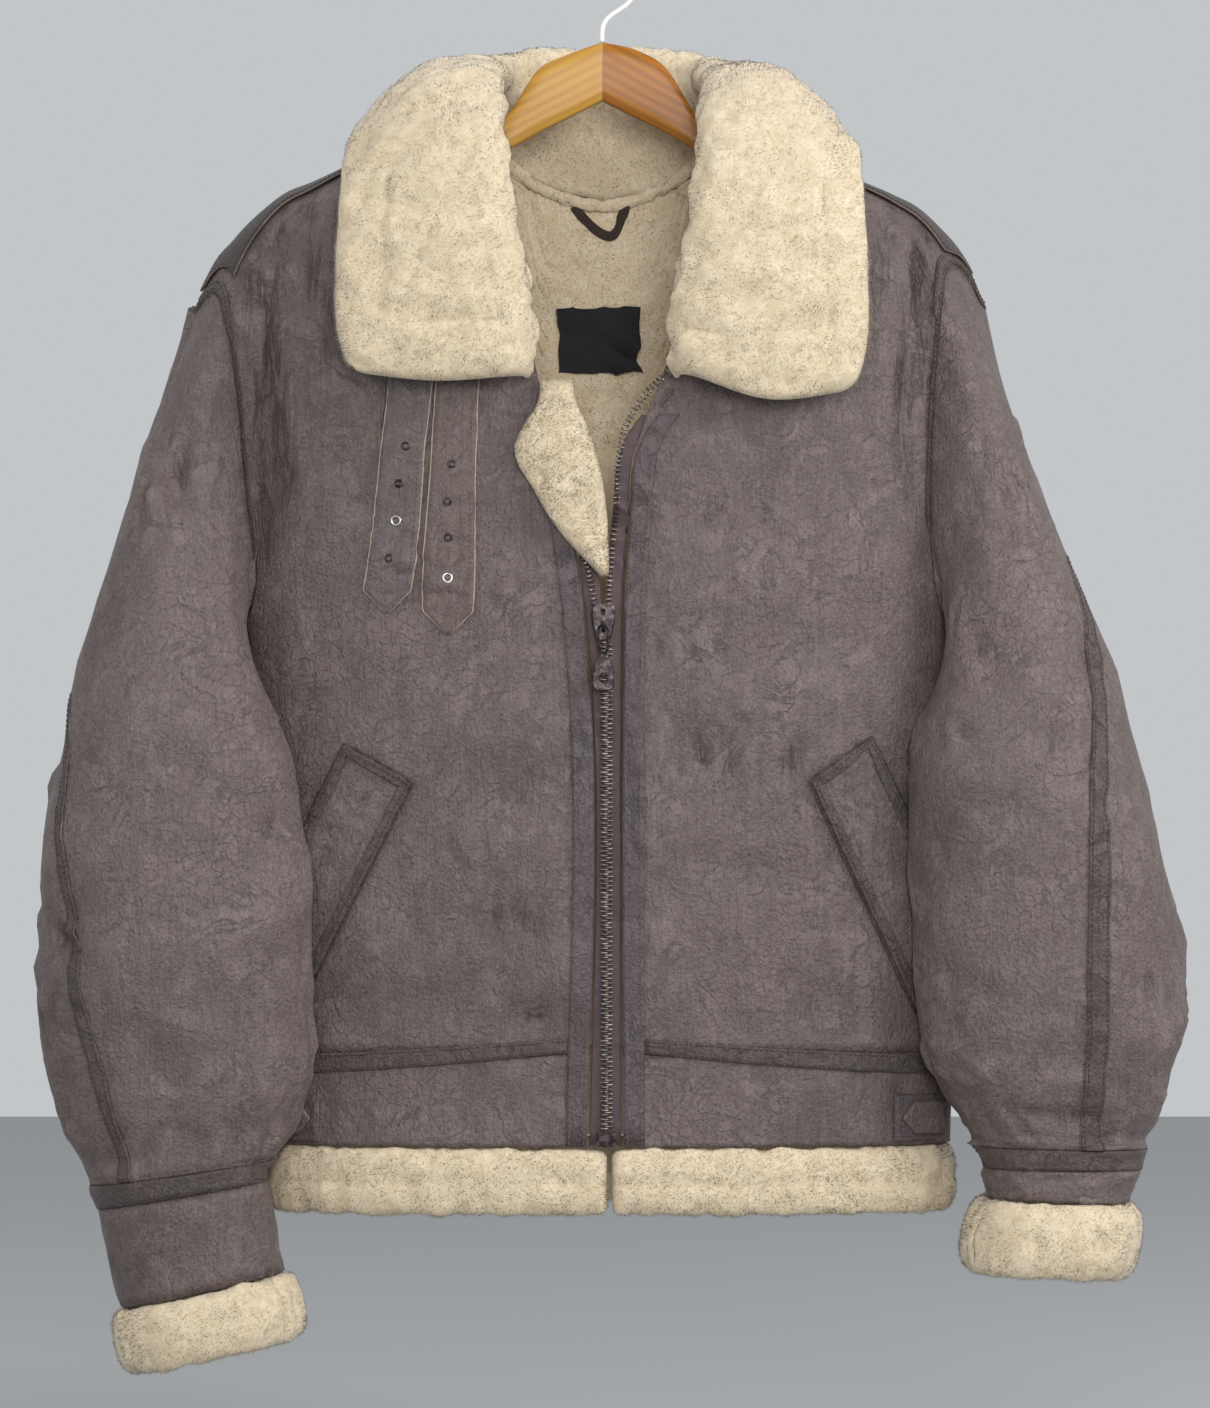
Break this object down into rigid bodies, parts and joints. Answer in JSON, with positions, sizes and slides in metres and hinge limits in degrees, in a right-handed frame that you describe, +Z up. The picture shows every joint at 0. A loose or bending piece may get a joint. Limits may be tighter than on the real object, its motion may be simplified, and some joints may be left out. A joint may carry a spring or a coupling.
{
  "type": "shearling coat on a wooden hanger",
  "caption": "Hip-length shearling flying coat with a wide wool collar, zipped front, slanted pockets and turned wool cuffs and hem, on a wooden hanger with a wire hook.",
  "frame": {"origin": "the seat of the hanger's hook: the underside of the top of its arc, where a rail carries it", "axes": "+Z up, the coat faces -Y, and +X is the viewer's right (the wearer's left)"},
  "size_m": [0.7466, 0.2176, 0.9385],
  "materials": {
    "leather": "worn matt nappa, taupe",
    "leather_dark": "crinkled, darker taupe",
    "shearling": "cream sheared wool",
    "zip_tape": "woven, brown grey",
    "gunmetal": "dark gunmetal, worn bright on its edges",
    "white_wire": "white coating",
    "wood_light": "satin varnish, honey",
    "wood_dark": "satin varnish, darker honey",
    "label_cloth": "black woven",
    "loop_cloth": "dark brown woven"
  },
  "bodies": {
    "coat": {"adjuster_left": "leather_dark", "adjuster_right": "leather_dark", "armhole_tape_back_left": "leather_dark", "armhole_tape_back_right": "leather_dark", "armhole_tape_front_left": "leather_dark", "armhole_tape_front_right": "leather_dark", "back": "leather", "collar": "shearling", "cuff_band_left": "leather_dark", "cuff_band_right": "leather_dark", "cuff_left": "leather", "cuff_right": "leather", "cuff_wool_left": "shearling", "cuff_wool_right": "shearling", "facing_left": "leather_dark", "facing_right": "leather_dark", "front_left": "leather", "front_right": "leather", "hanger_hook": "white_wire", "hanger_left": "wood_light", "hanger_right": "wood_dark", "hanging_loop": "loop_cloth", "hem_wool_back": "shearling", "hem_wool_left": "shearling", "hem_wool_right": "shearling", "keeper_left": "leather", "keeper_right": "leather", "label": "label_cloth", "pocket_left": "leather", "pocket_right": "leather", "pocket_trim_left": "leather_dark", "pocket_trim_right": "leather_dark", "shoulder_tape_left": "leather_dark", "shoulder_tape_right": "leather_dark", "sleeve_left": "leather", "sleeve_right": "leather", "sleeve_tape_left": "leather_dark", "sleeve_tape_right": "leather_dark", "throat_strap_inner": "leather", "throat_strap_outer": "leather", "waist_tape_back": "leather_dark", "waist_tape_left": "leather_dark", "waist_tape_right": "leather_dark", "waistband_back": "leather", "waistband_left": "leather", "waistband_right": "leather", "wind_flap": "shearling", "zip_box": "gunmetal", "zip_slider": "gunmetal", "zip_tape_left": "zip_tape", "zip_tape_right": "zip_tape"},
    "link": {"zip_link": "gunmetal"},
    "pull": {"zip_pull": "gunmetal"}
  },
  "joints": [
    {"name": "link_swing", "type": "hinge", "parent": "coat", "child": "link", "pos_m": [0.0009, -0.08485, -0.449], "axis": [-1, 0, 0], "range_deg": [0, 120]},
    {"name": "pull_swing", "type": "hinge", "parent": "link", "child": "pull", "pos_m": [0.0009, -0.08485, -0.4656], "axis": [-1, 0, 0], "range_deg": [0, 55]}
  ]
}
